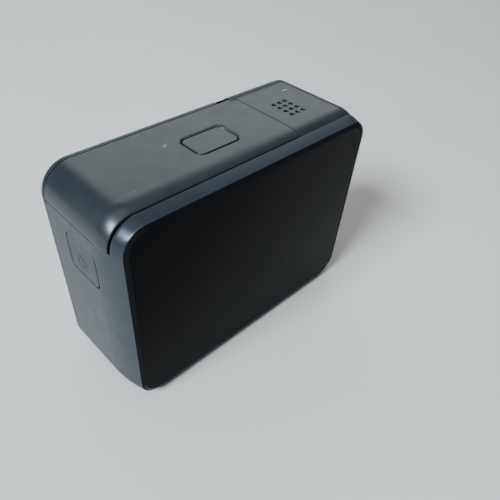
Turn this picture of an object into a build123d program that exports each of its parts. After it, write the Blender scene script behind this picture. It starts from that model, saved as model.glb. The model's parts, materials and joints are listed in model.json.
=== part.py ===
from build123d import *
import os
from math import cos, radians, sin

# Action camera: a waterproof housing with a rear touch screen, a front display, a lens with a
# twist-off cover, a hinged battery door, two push buttons and two fold-out mounting fingers.
# Frame: +Z up, +Y towards the rear screen, -Y the way the lens looks. The origin is the centre of
# the footprint, on the surface that the camera stands on. All sizes are in millimetres.

# ---- outer form ----
body_width = 71.0
body_height = 51.0
body_depth = 26.4
overall_depth = 33.6
corner_radius = 6.7
front_edge_radius = 1.4
rear_y = overall_depth / 2
front_y = rear_y - body_depth
rim_y = rear_y - 0.4
lens_front_y = -overall_depth / 2
half_width = body_width / 2
mid_z = body_height / 2

# The cover rolls off sharply just before the rear frame, a little less at the two sides; the
# lower shell is gently crowned.
roll_start_y = 9.8
roll_radius = 6.0
side_roll_margin = 0.55
crown_start_y = 7.5
crown_power = 2.0
rear_inset = 1.5
rim_width = 1.07
glass_inset = rear_inset + rim_width + 0.05
glass_recess = 0.12

# ---- walls and seams ----
frame_depth = 3.1
frame_front_y = rear_y - frame_depth
cover_rear_y = frame_front_y - 0.6
panel_rear_y = frame_front_y - 0.25
shell_front_y = front_y + 2.0
seam = 0.1
bonded_seam = 0.02
skin = 1.2
core_inset = 1.35
core_rear_y = 12.2
wall = 2.6
cover_seam_z = 44.35
bay_wall_x = -31.8

# ---- top face ----
door_seam_x = -30.25
grille_seam_x = -13.6
grille_front_y = -6.65
grille_first_hole = (-18.55, 0.78)
grille_pitch = 1.87
grille_columns = 3
grille_rows = 4
grille_hole = (1.05, 0.85)
slot_centre = (-26.6, -3.4)
slot_size = (2.1, 0.45)
mic_notch_x = (-12.2, -8.4)
mic_notch_y = (front_y + 0.25, front_y + 2.0)

# ---- buttons ----
shutter_centre = (3.3, 3.45)
shutter_size = (11.1, 7.1)
shutter_corner = 1.6
shutter_gap = 0.2
shutter_recess = 0.25
dish_width = 0.7
dish_depth = 0.35
mode_centre = (3.65, 36.45)
mode_size = (10.2, 9.1)
mode_corner = 1.6
mode_gap = 0.1
mode_rear_gap = 0.35

# ---- front face ----
lens_x = 16.0
lens_z = 31.2
ring_radius = 12.0
barrel_radius = 9.2
cover_size = 28.0
cover_corner = 6.0
cover_back_y = front_y - 0.1
lug_radius = 12.7
front_glass_centre = (-17.0, 30.2)
front_glass_size = (27.0, 30.0)

# ---- battery door ----
door_skin = 1.6
door_inner_inset = 1.75
hinge_angle = 40.0
hinge_distance = 5.72
knuckle_radius = 0.95
hinge_pin_radius = 0.45
hinge_x = -half_width + corner_radius - hinge_distance * cos(radians(hinge_angle))
hinge_z = corner_radius - hinge_distance * sin(radians(hinge_angle))
middle_knuckle = (0.6, 5.4)
bay_opening_y = (-5.9, 12.05)
bay_opening_z = (6.4, 44.9)
latch_y = 2.75

# ---- folding fingers ----
finger_thickness = 3.0
finger_gap = 3.1
finger_width = 15.0
finger_hole_radius = 2.6
finger_reach = 10.3
finger_y = 1.5
finger_pin_length = 16.8
finger_lift = 0.1
finger_pin_radius = 0.8
finger_pivot_x = (finger_gap + finger_thickness) / 2
finger_pivot_z = finger_lift + finger_thickness / 2
recess_clearance = 0.35

# ---- inside ----
battery_low = (-31.2, -5.4, 8.4)
battery_high = (6.3, 7.0, 42.0)
bay_clearance = 0.25
bay_skin = 0.8
board_y = (9.4, 10.4)
usb_centre_z = 17.6
card_z = (28.5, 39.5)
screw_spots = [(x, z) for x in (-31.0, 31.0) for z in (4.5, 46.5)]


# ---------------------------------------------------------------- helpers

def block(x_range, y_range, z_range):
    size = (x_range[1] - x_range[0], y_range[1] - y_range[0], z_range[1] - z_range[0])
    return Pos(x_range[0], y_range[0], z_range[0]) * Box(*size, align=(Align.MIN,) * 3)


def span(centre, size):
    return (centre - size / 2, centre + size / 2)


def facing_y(width, height, radius, y_range, centre=(0, mid_z)):
    """Rounded rectangle in the XZ plane, as thick along Y as y_range."""
    plane = Plane(origin=(centre[0], y_range[0], centre[1]), x_dir=(1, 0, 0), z_dir=(0, 1, 0))
    return extrude(plane * RectangleRounded(width, height, radius), y_range[1] - y_range[0])


def facing_z(width, depth, radius, z_range, centre):
    """Rounded rectangle in the XY plane, as thick along Z as z_range."""
    plane = Plane(origin=(centre[0], centre[1], z_range[0]))
    return extrude(plane * RectangleRounded(width, depth, radius), z_range[1] - z_range[0])


def facing_x(depth, height, radius, x_range, centre):
    """Rounded rectangle in the YZ plane, as thick along X as x_range."""
    plane = Plane(origin=(x_range[0], centre[0], centre[1]), x_dir=(0, 1, 0), z_dir=(1, 0, 0))
    return extrude(plane * RectangleRounded(depth, height, radius), x_range[1] - x_range[0])


def rod_y(radius, y_range, centre):
    """Cylinder along Y at (x, z)."""
    plane = Plane(origin=(centre[0], y_range[0], centre[1]), x_dir=(1, 0, 0), z_dir=(0, 1, 0))
    return extrude(plane * Circle(radius), y_range[1] - y_range[0])


def rod_z(radius, z_range, centre):
    return extrude(Plane(origin=(centre[0], centre[1], z_range[0])) * Circle(radius), z_range[1] - z_range[0])


def rod_x(radius, x_range, centre):
    """Cylinder along X at (y, z)."""
    plane = Plane(origin=(x_range[0], centre[0], centre[1]), x_dir=(0, 1, 0), z_dir=(1, 0, 0))
    return extrude(plane * Circle(radius), x_range[1] - x_range[0])


def tube_y(outer, inner, y_range, centre):
    return rod_y(outer, y_range, centre) - rod_y(inner, y_range, centre)


def body_outline(inset, y_range):
    """The body's own rounded outline, moved in by inset on every side."""
    return facing_y(body_width - 2 * inset, body_height - 2 * inset, corner_radius - inset, y_range)


def rolled_form(inset=0.0):
    """Outer form of the front, the cover and the door: soft front edge, rolled-off rear edge."""
    y_range = (front_y + inset, roll_start_y + roll_radius - inset)
    width = body_width - 2 * inset + 2 * side_roll_margin
    height = body_height - 2 * inset
    rolled = facing_y(width, height, corner_radius - inset, y_range)
    rolled = fillet(rolled.edges().group_by(Axis.Y)[-1], roll_radius - inset)
    outline = body_outline(inset, y_range)
    if front_edge_radius - inset > 0.3:
        outline = fillet(outline.edges().group_by(Axis.Y)[0], front_edge_radius - inset)
    return rolled & outline


def outline_face(inset, y):
    """The body's outline, moved in by inset, as a flat face across the Y axis."""
    plane = Plane(origin=(0, y, mid_z), x_dir=(1, 0, 0), z_dir=(0, 1, 0))
    width = body_width - 2 * inset
    height = body_height - 2 * inset
    return plane * RectangleRounded(width, height, corner_radius - inset)


def crown_inset(y):
    return rear_inset * ((y - crown_start_y) / (rim_y - crown_start_y)) ** crown_power


def crowned_form():
    """Outer form of the lower shell and the rear frame: straight, gently drawn in, then the rim."""
    stations = [crown_start_y + (rim_y - crown_start_y) * step / 3 for step in range(4)]
    crown = loft([outline_face(crown_inset(y), y) for y in stations])
    rim = loft([outline_face(rear_inset, rim_y), outline_face(rear_inset + rim_width, rear_y)], ruled=True)
    straight = body_outline(0, (front_y, crown_start_y))
    straight = fillet(straight.edges().group_by(Axis.Y)[0], front_edge_radius)
    return straight + crown + rim


ROLLED = rolled_form()
ROLLED_SKIN = ROLLED - rolled_form(skin)
CROWNED = crowned_form()


def hinge_side(y_range):
    """The half space below the door's hinge line, as a big tilted block."""
    tilt = 90 - hinge_angle
    big = Pos(10, 0, 0) * Box(20, y_range[1] - y_range[0], 16)
    return Pos(hinge_x, sum(y_range) / 2, hinge_z) * Rot(0, tilt, 0) * big


def door_zone(inset, y_range, top_x):
    """Skin of the body's right side that belongs to the door, from the top seam to the hinge."""
    zone = block((-half_width - 1, top_x), y_range, (0, body_height + 1))
    zone -= body_outline(inset, (front_y - 1, rear_y + 1))
    return zone - hinge_side((y_range[0] - 1, y_range[1] + 1))


# ---------------------------------------------------------------- housing

def make_body_shell():
    """Lower housing with its hollow, the core under the covers and the seats of all moving parts."""
    lower_y = (shell_front_y, frame_front_y - bonded_seam)
    lower = CROWNED & block((-40, 40), lower_y, (-1, cover_seam_z - seam))
    core = rolled_form(core_inset) & block((-40, 40), (shell_front_y, core_rear_y), (1, body_height))
    shell = lower + core
    shell -= body_outline(wall, (shell_front_y - 1, rear_y))
    bay_wall = block((-half_width + door_inner_inset, bay_wall_x), (shell_front_y, core_rear_y), (5, 47))
    floor_pad = block((-24, 24), (shell_front_y, core_rear_y), (1, 4.9))
    shell += bay_wall + floor_pad
    for spot in screw_spots:
        shell += rod_y(1.7, (-6.7, 2.0), spot) & body_outline(core_inset + 0.2, (front_y, rear_y))
        shell -= rod_y(1.45, (shell_front_y - 1, -6.7), spot)
        shell -= rod_y(0.85, (-6.7, 0.5), spot)
    shell -= door_zone(door_inner_inset, (shell_front_y - 1, frame_front_y), door_seam_x)
    shell -= block((-40, bay_wall_x + 0.05), bay_opening_y, bay_opening_z)
    shell -= rod_y(knuckle_radius + 0.4, (shell_front_y - 1, frame_front_y), (hinge_x, hinge_z))
    shell += middle_knuckle_lug()
    shell -= rod_y(hinge_pin_radius + 0.05, (-6.9, 11.4), (hinge_x, hinge_z))
    shell -= shutter_cutout() + mode_cutout() + grille_cutout() + finger_recess()
    return shell


def middle_knuckle_lug():
    """The housing's own knuckle between the two of the door, with its root in the housing."""
    lug = rod_y(knuckle_radius, middle_knuckle, (hinge_x, hinge_z))
    root = block((hinge_x, hinge_x + 2.2), middle_knuckle, (hinge_z - 0.9, hinge_z + 0.9))
    return (lug + root) & body_outline(0.02, (front_y, rear_y))


def shutter_cutout():
    return facing_z(14.6, 10.8, 2.0, (48, body_height), shutter_centre)


def mode_cutout():
    hole = facing_x(mode_size[0], mode_size[1], mode_corner, (32, 36), mode_centre)
    pocket = facing_x(14.2, 12.6, 1.5, (31, 33.2), mode_centre)
    return hole + pocket


def grille_cutout():
    x = grille_first_hole[0] - grille_pitch
    y = grille_first_hole[1] + 1.5 * grille_pitch
    return block(span(x, 6.4), span(y, 8.2), (48, body_height))


def finger_recess():
    half = finger_pivot_x + finger_reach + finger_width / 2 + recess_clearance
    floor_z = finger_lift + finger_thickness + recess_clearance
    recess = facing_z(2 * half, finger_width + 2 * recess_clearance, 7.6, (-1, floor_z), (0, finger_y))
    recess -= block((-1.3, 1.3), (-12, 18), (finger_lift, floor_z + 1))
    for side in (-1, 1):
        pin_y = span(finger_y, finger_pin_length + 0.1)
        recess += rod_y(finger_pin_radius + 0.05, pin_y, (side * finger_pivot_x, finger_pivot_z))
    return recess


def make_top_cover():
    """Skin over the top and the left shoulder, with the shutter opening."""
    zone = block((door_seam_x, 40), (shell_front_y, cover_rear_y), (cover_seam_z, body_height + 1))
    cover = ROLLED_SKIN & zone
    cover -= block((door_seam_x - 1, grille_seam_x), (grille_front_y, 20), (cover_seam_z, 52))
    cover -= front_tab_zone(seam)
    opening = facing_z(*shutter_size, shutter_corner, (49, 52), shutter_centre)
    return cover - opening - shutter_dish()


def shutter_dish():
    """Sloped margin round the shutter opening."""
    width, depth = shutter_size
    low = Plane(origin=(*shutter_centre, body_height - dish_depth))
    high = Plane(origin=(*shutter_centre, body_height))
    bottom = low * RectangleRounded(width, depth, shutter_corner)
    top = high * RectangleRounded(width + 2 * dish_width, depth + 2 * dish_width, shutter_corner + dish_width)
    return loft([bottom, top], ruled=True)


def front_tab_zone(margin):
    """Strip of the top, right of the microphone notch, that belongs to the front plate."""
    return block((-40, mic_notch_x[0] + margin), (front_y, grille_front_y + margin - seam), (44, 52))


def make_front_plate():
    """Front wall with the lens opening, the display window and the microphone notch."""
    plate = ROLLED & block((-40, 40), (front_y - 1, shell_front_y - seam), (-1, 52))
    tab = ROLLED_SKIN & front_tab_zone(0)
    plate += tab & block((door_seam_x + seam, 0), (shell_front_y - seam, 0), (cover_seam_z, 52))
    plate -= rod_y(ring_radius + 0.15, (front_y - 1, 0), (lens_x, lens_z))
    width, height = front_glass_size
    plate -= facing_y(width + 0.2, height + 0.2, 2.7, (front_y - 1, front_y + 0.9), front_glass_centre)
    plate -= facing_y(width - 2, height - 3, 1.5, (front_y - 1, 0), front_glass_centre)
    plate -= block(mic_notch_x, mic_notch_y, (49.2, 52))
    plate -= rod_y(0.5, (front_y - 1, 0), (-10.3, 48.0))
    return plate


def make_rear_frame():
    """Ring round the screen, with a spigot inside the shell and a ledge for the glass."""
    ring = CROWNED & block((-40, 40), (frame_front_y, rear_y + 1), (-1, 52))
    ring += body_outline(wall + 0.35, (core_rear_y + 0.1, frame_front_y))
    ring -= body_outline(glass_inset - 0.05, (rear_y - 1.45, rear_y + 1))
    return ring - facing_y(57, 42, 3, (0, rear_y + 1))


def make_grille_panel():
    """Separate panel at the right of the top, with the speaker holes and the light slot."""
    zone = block((door_seam_x + seam, grille_seam_x - seam), (grille_front_y, panel_rear_y), (44, 52))
    panel = ROLLED_SKIN & zone
    for column in range(grille_columns):
        for row in range(grille_rows):
            x = grille_first_hole[0] - column * grille_pitch
            y = grille_first_hole[1] + row * grille_pitch
            panel -= Pos(x, y, 49) * extrude(Ellipse(grille_hole[0] / 2, grille_hole[1] / 2), 3)
    return panel - facing_z(*slot_size, 0.2, (49, 52), slot_centre)


def make_grille_mesh():
    x = grille_first_hole[0] - grille_pitch
    y = grille_first_hole[1] + 1.5 * grille_pitch
    return facing_z(6.0, 7.8, 0.8, (49.5, 49.7), (x, y))


def make_status_light():
    return facing_z(slot_size[0] - 0.1, slot_size[1] - 0.1, 0.15, (49.9, 50.9), slot_centre)


# ---------------------------------------------------------------- rear screen

def make_touch_glass():
    """Cover glass, set just below the frame's rim, with a fine polished edge."""
    glass = body_outline(glass_inset, (rear_y - 1.25, rear_y - glass_recess))
    return chamfer(glass.edges().group_by(Axis.Y)[-1], 0.12)


def make_glass_adhesive():
    outer = body_outline(glass_inset + 0.3, (rear_y - 1.43, rear_y - 1.27))
    return outer - facing_y(58, 43, 3, (0, rear_y))


def make_rear_display():
    return facing_y(54, 39, 1.5, (12.9, 15.25))


def make_heat_spreader():
    return facing_y(46, 35, 1.0, (11.6, 12.2), (7, 26))


def make_main_board():
    """Circuit board behind the battery, notched at the right for the charging port."""
    board = facing_y(61.6, 36.5, 1.5, board_y, (0.4, 26.0))
    return board - block((-40, -25.9), (0, 20), span(usb_centre_z, 10.0))


def make_processor():
    return facing_y(13, 13, 0.4, (board_y[1] + 0.05, 11.5), (4, 25))


def make_display_flex():
    """Ribbon from the screen's lower edge to the foot of the board."""
    down = block(span(0, 12), (12.3, 12.5), (5.4, 9.4))
    across = block(span(0, 12), (10.45, 12.5), (5.4, 5.6))
    up = block(span(0, 12), (10.45, 10.65), (5.4, 7.2))
    return down + across + up


# ---------------------------------------------------------------- front face and lens

def make_front_glass():
    width, height = front_glass_size
    return facing_y(width, height, 2.6, (front_y + 0.05, front_y + 0.85), front_glass_centre)


def make_front_display():
    width, height = front_glass_size
    return facing_y(width - 3, height - 4.5, 1.0, (front_y + 0.95, front_y + 2.2), front_glass_centre)


def lens_lugs(radius):
    """Two bayonet lugs, left and right of the ring."""
    ring = tube_y(radius, ring_radius - 0.5, (-12.7, -11.5), (lens_x, lens_z))
    return ring & block(span(lens_x, 30), (-13, -11), span(lens_z, 6))


def make_lens_ring():
    """Fixed collar that carries the twist-off cover and clamps the lens."""
    centre = (lens_x, lens_z)
    ring = rod_y(ring_radius, (-14.2, -6.8), centre) + rod_y(13.3, (shell_front_y, -6.8), centre)
    ring -= rod_y(barrel_radius + 0.1, (-15, -5), centre)
    return ring + lens_lugs(lug_radius)


def make_lens_barrel():
    centre = (lens_x, lens_z)
    barrel = rod_y(barrel_radius, (-13.4, 2.2), centre)
    barrel -= rod_y(7.4, (-13.5, -9.0), centre)
    barrel -= rod_y(5.6, (-9.1, -3.4), centre)
    return barrel - rod_y(4.6, (-3.5, 2.3), centre)


def make_front_lens():
    """Strongly curved outer element: a disc with a spherical front."""
    dome = Pos(lens_x, -0.9, lens_z) * Sphere(12.2)
    return rod_y(7.3, (-13.3, -9.2), (lens_x, lens_z)) & dome


def make_middle_lens():
    return rod_y(5.5, (-8.0, -5.6), (lens_x, lens_z)) & Pos(lens_x, 3, lens_z) * Sphere(11)


def make_rear_lens():
    return rod_y(4.5, (-2.6, 0.2), (lens_x, lens_z)) & Pos(lens_x, 6, lens_z) * Sphere(8.6)


def make_ir_filter():
    return facing_y(8.0, 7.0, 0.3, (2.4, 2.7), (lens_x, lens_z))


def make_image_sensor():
    return facing_y(9.0, 8.0, 0.3, (2.9, 3.9), (lens_x, lens_z))


def make_sensor_board():
    return facing_y(17.6, 17.6, 1.0, (4.0, 5.0), (lens_x, lens_z))


def make_sensor_flex():
    """Ribbon from the sensor board to the main board."""
    out = block((24.9, 28.2), (4.4, 4.6), span(lens_z, 8))
    back = block((28.0, 28.2), (4.4, 9.3), span(lens_z, 8))
    return out + back


def make_lens_cover():
    """Square twist-off bezel with a round bore, a bayonet groove and two entry slots."""
    centre = (lens_x, lens_z)
    body = facing_y(cover_size, cover_size, cover_corner, (lens_front_y, cover_back_y), centre)
    body = fillet(body.edges().group_by(Axis.Y)[0], 1.2)
    body -= facing_y(23.6, 23.6, 5.0, (lens_front_y - 1, -15.3), centre)
    body -= rod_y(10.6, (lens_front_y - 1, 0), centre)
    body -= rod_y(ring_radius + 0.1, (-14.5, 0), centre)
    body -= rod_y(lug_radius + 0.3, (-13.0, -11.2), centre)
    for angle in (45, 225):
        slot = block((0, 13.0), (-13.0, 0), span(0, 7.4))
        slot &= rod_y(lug_radius + 0.3, (-13.0, 0), (0, 0))
        body -= Pos(lens_x, 0, lens_z) * Rot(0, angle, 0) * slot
    return body


def make_lens_cover_glass():
    return facing_y(23.4, 23.4, 4.9, (-16.5, -15.35), (lens_x, lens_z))


def make_lens_cover_seal():
    return tube_y(11.9, 10.9, (-14.48, -14.25), (lens_x, lens_z))


# ---------------------------------------------------------------- buttons

def make_shutter_button():
    """Cap in the top opening, with a flange under the cover and a stem to its switch."""
    width, depth = shutter_size
    cap_top = body_height - shutter_recess
    cap_size = (width - 2 * shutter_gap, depth - 2 * shutter_gap)
    cap = facing_z(*cap_size, shutter_corner - shutter_gap, (48.9, cap_top), shutter_centre)
    cap = chamfer(cap.edges().group_by(Axis.Z)[-1], 0.15)
    cap += facing_z(width + 0.8, depth + 0.8, 2.0, (48.9, 49.6), shutter_centre)
    return cap + rod_z(1.2, (48.0, 48.9), shutter_centre)


def make_shutter_seal():
    seal = facing_z(14.2, 10.4, 2.0, (48.6, 49.7), shutter_centre)
    return seal - facing_z(12.2, 8.4, 2.0, (48, 50), shutter_centre)


def make_shutter_switch():
    can = facing_z(5.0, 5.0, 0.5, (46.65, 47.1), shutter_centre)
    return can + rod_z(1.8, (47.1, 47.4), shutter_centre)


def make_button_board():
    return facing_z(14, 8, 0.8, (46.0, 46.6), shutter_centre)


def make_mode_button():
    """Side cap with a flange behind the wall and a stem to its switch; its gap is widest at the rear."""
    depth, height = mode_size
    cap_centre = (mode_centre[0] - (mode_rear_gap - mode_gap) / 2, mode_centre[1])
    cap_size = (depth - mode_gap - mode_rear_gap, height - 2 * mode_gap)
    cap = facing_x(*cap_size, mode_corner - mode_gap, (32.0, half_width - 0.05), cap_centre)
    cap &= CROWNED
    cap += facing_x(depth + 1.4, height + 1.4, 1.5, (32.0, 32.8), mode_centre)
    return cap + rod_x(1.2, (31.2, 32.0), mode_centre)


def make_mode_seal():
    seal = facing_x(13.8, 12.2, 1.5, (31.9, 33.1), mode_centre)
    return seal - facing_x(12.1, 11.0, 1.5, (31, 34), mode_centre)


def make_mode_switch():
    can = facing_x(5.0, 5.0, 0.5, (29.85, 30.3), mode_centre)
    return can + rod_x(1.8, (30.3, 30.6), mode_centre)


def make_mode_board():
    return facing_x(8, 12, 0.8, (29.2, 29.8), mode_centre)


# ---------------------------------------------------------------- battery door

def make_battery_door():
    """Right side of the housing: a skin that wraps the top corner and hinges at the foot."""
    y_range = (shell_front_y, panel_rear_y)
    skin_part = ROLLED & door_zone(door_skin, y_range, door_seam_x - seam)
    knuckles = rod_y(knuckle_radius, y_range, (hinge_x, hinge_z))
    gap = (middle_knuckle[0] - 0.15, middle_knuckle[1] + 0.15)
    door = skin_part + (knuckles & ROLLED)
    door -= rod_y(knuckle_radius + 0.2, gap, (hinge_x, hinge_z))
    door -= rod_y(hinge_pin_radius + 0.06, (-10, 20), (hinge_x, hinge_z))
    door -= block((-36, -34.6), span(latch_y, 10.0), (35.9, 45.0))
    door -= block((-36, -33), span(latch_y, 3.0), (37.2, 42.0))
    return door + block((-33.95, -31.95), span(latch_y, 2.6), (33.0, 34.0))


def make_door_gasket():
    """Rubber lip on the door that plugs the battery bay's mouth."""
    y_mid = sum(bay_opening_y) / 2
    z_mid = sum(bay_opening_z) / 2
    depth = bay_opening_y[1] - bay_opening_y[0] - 0.6
    height = bay_opening_z[1] - bay_opening_z[0] - 0.6
    x_range = (-half_width + door_skin + 0.02, -32.9)
    lip = facing_x(depth, height, 1.5, x_range, (y_mid, z_mid))
    return lip - facing_x(depth - 2.2, height - 2.2, 1.0, (-36, -30), (y_mid, z_mid))


def make_door_hinge_pin():
    return rod_y(hinge_pin_radius, (-6.8, 11.3), (hinge_x, hinge_z))


def make_door_latch():
    """Thumb slide on the door, with a stem through it and a tongue inside."""
    thumb = facing_x(9.4, 6.6, 1.2, (-35.45, -34.7), (latch_y, 41.4))
    for step in range(4):
        z = 39.6 + step * 1.1
        thumb -= block((-36, -35.25), span(latch_y, 6.0), span(z, 0.5))
    stem = block((-34.8, -33.1), span(latch_y, 2.6), (39.5, 41.7))
    tongue = block((-33.7, -32.2), span(latch_y, 2.6), (39.5, 43.1))
    return thumb + stem + tongue


def make_latch_spring():
    """Return spring between the door's seat and the tongue, as a sleeve."""
    centre = (-32.95, latch_y)
    return rod_z(0.7, (34.05, 39.45), centre) - rod_z(0.4, (34.0, 39.5), centre)


# ---------------------------------------------------------------- battery, card and port

def make_battery():
    pack = block(*zip(battery_low, battery_high))
    return fillet(pack.edges().filter_by(Axis.X), 1.0)


def make_battery_pull_tab():
    return block((-31.7, -31.3), (-1.5, 3.0), (12, 26))


def make_battery_bay():
    """Open-ended sleeve that guides the battery."""
    outer_grow = bay_clearance + bay_skin
    ranges = list(zip(battery_low, battery_high))
    x_range = (battery_low[0] + 0.6, battery_high[0] + 0.1)
    outer = block(x_range, *[(low - outer_grow, high + outer_grow) for low, high in ranges[1:]])
    inner = block((-40, 40), *[(low - bay_clearance, high + bay_clearance) for low, high in ranges[1:]])
    return outer - inner


def contact_spots():
    return [11.0 + 2.2 * step for step in range(5)]


def make_contact_block():
    holder = block((7.0, 9.6), (-2.5, 4.5), (9.5, 21.3))
    for z in contact_spots():
        holder -= block((6, 8.8), (-1.6, 3.6), span(z, 0.9))
    return holder


def make_battery_contacts():
    blades = [block((6.4, 8.7), (-1.4, 3.4), span(z, 0.6)) for z in contact_spots()]
    return Compound(children=blades)


def make_usb_port():
    centre = (10.1, usb_centre_z)
    port = facing_x(3.2, 9.0, 1.55, (-32.8, -26.1), centre)
    return port - facing_x(2.6, 8.4, 1.25, (-34, -26.6), centre)


def make_usb_tongue():
    return block((-32.2, -26.65), span(10.1, 0.7), span(usb_centre_z, 6.7))


def make_card_slot():
    slot = block((-32.4, -17.0), (10.5, 11.95), (card_z[0] - 0.5, card_z[1] + 0.5))
    return slot - block((-34, -17.6), (10.75, 11.7), (card_z[0] - 0.2, card_z[1] + 0.2))


def make_memory_card():
    card = block((-32.75, -17.75), (10.9, 11.6), card_z)
    return fillet(card.edges().filter_by(Axis.Y), 0.6)


# ---------------------------------------------------------------- sound, antenna and fasteners

def make_speaker():
    return facing_z(12.6, 15.0, 1.5, (45.3, 47.4), (-20.6, 3.8))


def make_speaker_gasket():
    x = grille_first_hole[0] - grille_pitch
    y = grille_first_hole[1] + 1.5 * grille_pitch
    return facing_z(9.0, 10.6, 1.5, (47.45, 48.3), (x, y)) - facing_z(6.4, 8.0, 1.0, (47, 49), (x, y))


def make_microphones():
    """Three small cans: behind the front notch, under the top light and beside the lens."""
    cans = [
        block((-12.0, -8.6), (-6.9, -5.9), (46.9, 48.3)),
        block((-27.4, -24.2), (-4.6, -2.2), (47.5, 48.3)),
        block((24.0, 27.0), (-6.9, -5.9), (8.0, 10.4)),
    ]
    return Compound(children=cans)


def make_gps_antenna():
    return facing_z(13, 10, 0.6, (45.4, 48.0), (21.0, 3.9))


def make_frame_screws():
    """Four screws that hold the inner ring of the front to the housing's corners."""
    screws = []
    for spot in screw_spots:
        screw = rod_y(1.3, (-7.5, -6.75), spot) + rod_y(0.8, (-6.8, 0.3), spot)
        screws.append(screw - rod_y(0.5, (-7.6, -7.1), spot))
    return Compound(children=screws)


# ---------------------------------------------------------------- folding fingers

def make_finger(side):
    """Flat mounting finger, folded flush: it points outwards and turns down on its pin."""
    z_range = (finger_lift, finger_lift + finger_thickness)
    hole_x = finger_pivot_x + finger_reach
    finger = block((finger_pivot_x, hole_x), span(finger_y, finger_width), z_range)
    finger += rod_z(finger_width / 2, z_range, (hole_x, finger_y))
    finger += rod_y(finger_thickness / 2, span(finger_y, finger_width), (finger_pivot_x, finger_pivot_z))
    finger -= rod_z(finger_hole_radius, (-1, 5), (hole_x, finger_y))
    finger -= rod_y(finger_pin_radius + 0.06, (-10, 20), (finger_pivot_x, finger_pivot_z))
    return finger if side > 0 else mirror(finger, Plane.YZ)


def make_finger_pins():
    pins = []
    for side in (-1, 1):
        centre = (side * finger_pivot_x, finger_pivot_z)
        pins.append(rod_y(finger_pin_radius, span(finger_y, finger_pin_length), centre))
    return Compound(children=pins)


NODES = {
    "body_shell": make_body_shell,
    "top_cover": make_top_cover,
    "front_plate": make_front_plate,
    "rear_frame": make_rear_frame,
    "grille_panel": make_grille_panel,
    "grille_mesh": make_grille_mesh,
    "status_light": make_status_light,
    "touch_glass": make_touch_glass,
    "glass_adhesive": make_glass_adhesive,
    "rear_display": make_rear_display,
    "heat_spreader": make_heat_spreader,
    "main_board": make_main_board,
    "processor": make_processor,
    "display_flex": make_display_flex,
    "front_glass": make_front_glass,
    "front_display": make_front_display,
    "lens_ring": make_lens_ring,
    "lens_barrel": make_lens_barrel,
    "front_lens": make_front_lens,
    "middle_lens": make_middle_lens,
    "rear_lens": make_rear_lens,
    "ir_filter": make_ir_filter,
    "image_sensor": make_image_sensor,
    "sensor_board": make_sensor_board,
    "sensor_flex": make_sensor_flex,
    "lens_cover": make_lens_cover,
    "lens_cover_glass": make_lens_cover_glass,
    "lens_cover_seal": make_lens_cover_seal,
    "shutter_button": make_shutter_button,
    "shutter_seal": make_shutter_seal,
    "shutter_switch": make_shutter_switch,
    "button_board": make_button_board,
    "mode_button": make_mode_button,
    "mode_seal": make_mode_seal,
    "mode_switch": make_mode_switch,
    "mode_board": make_mode_board,
    "battery_door": make_battery_door,
    "door_gasket": make_door_gasket,
    "door_hinge_pin": make_door_hinge_pin,
    "door_latch": make_door_latch,
    "latch_spring": make_latch_spring,
    "battery": make_battery,
    "battery_pull_tab": make_battery_pull_tab,
    "battery_bay": make_battery_bay,
    "contact_block": make_contact_block,
    "battery_contacts": make_battery_contacts,
    "usb_port": make_usb_port,
    "usb_tongue": make_usb_tongue,
    "card_slot": make_card_slot,
    "memory_card": make_memory_card,
    "speaker": make_speaker,
    "speaker_gasket": make_speaker_gasket,
    "microphones": make_microphones,
    "gps_antenna": make_gps_antenna,
    "frame_screws": make_frame_screws,
    "finger_left": lambda: make_finger(1),
    "finger_right": lambda: make_finger(-1),
    "finger_pins": make_finger_pins,
}

os.makedirs("parts", exist_ok=True)
for name, make in NODES.items():
    export_step(make(), f"parts/{name}.step")
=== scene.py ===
import json
import math

import bmesh
import bpy
from mathutils import Matrix, Vector


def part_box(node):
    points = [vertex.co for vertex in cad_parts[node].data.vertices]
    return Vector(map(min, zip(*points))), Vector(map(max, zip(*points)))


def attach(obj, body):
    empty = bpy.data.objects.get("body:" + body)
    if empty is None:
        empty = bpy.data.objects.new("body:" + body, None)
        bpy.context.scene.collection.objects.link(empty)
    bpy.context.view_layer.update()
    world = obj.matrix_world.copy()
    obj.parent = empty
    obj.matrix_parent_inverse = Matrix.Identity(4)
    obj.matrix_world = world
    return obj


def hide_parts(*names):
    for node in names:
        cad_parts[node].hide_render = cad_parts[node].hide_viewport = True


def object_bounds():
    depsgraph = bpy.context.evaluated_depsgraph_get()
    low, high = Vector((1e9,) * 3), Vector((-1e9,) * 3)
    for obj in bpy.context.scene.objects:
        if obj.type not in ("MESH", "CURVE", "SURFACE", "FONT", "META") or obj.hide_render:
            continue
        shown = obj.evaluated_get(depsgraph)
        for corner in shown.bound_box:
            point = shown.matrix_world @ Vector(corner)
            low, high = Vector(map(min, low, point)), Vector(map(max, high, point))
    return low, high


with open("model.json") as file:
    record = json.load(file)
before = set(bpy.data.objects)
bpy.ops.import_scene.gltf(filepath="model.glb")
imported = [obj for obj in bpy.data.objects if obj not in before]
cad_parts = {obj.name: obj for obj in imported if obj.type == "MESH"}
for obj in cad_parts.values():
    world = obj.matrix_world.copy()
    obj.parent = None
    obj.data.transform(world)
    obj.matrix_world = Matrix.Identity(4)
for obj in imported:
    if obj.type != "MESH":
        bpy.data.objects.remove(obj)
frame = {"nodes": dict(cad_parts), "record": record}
cad_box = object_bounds()
nodes = frame["nodes"]

# Lengths in this file are in millimetres and are turned into metres when a piece is finished.
MM = 0.001


# ---------------------------------------------------------------- places taken from the frame

def span(node):
    """Lowest and highest corner of a CAD node in millimetres."""
    low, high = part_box(node)
    return low / MM, high / MM


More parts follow.
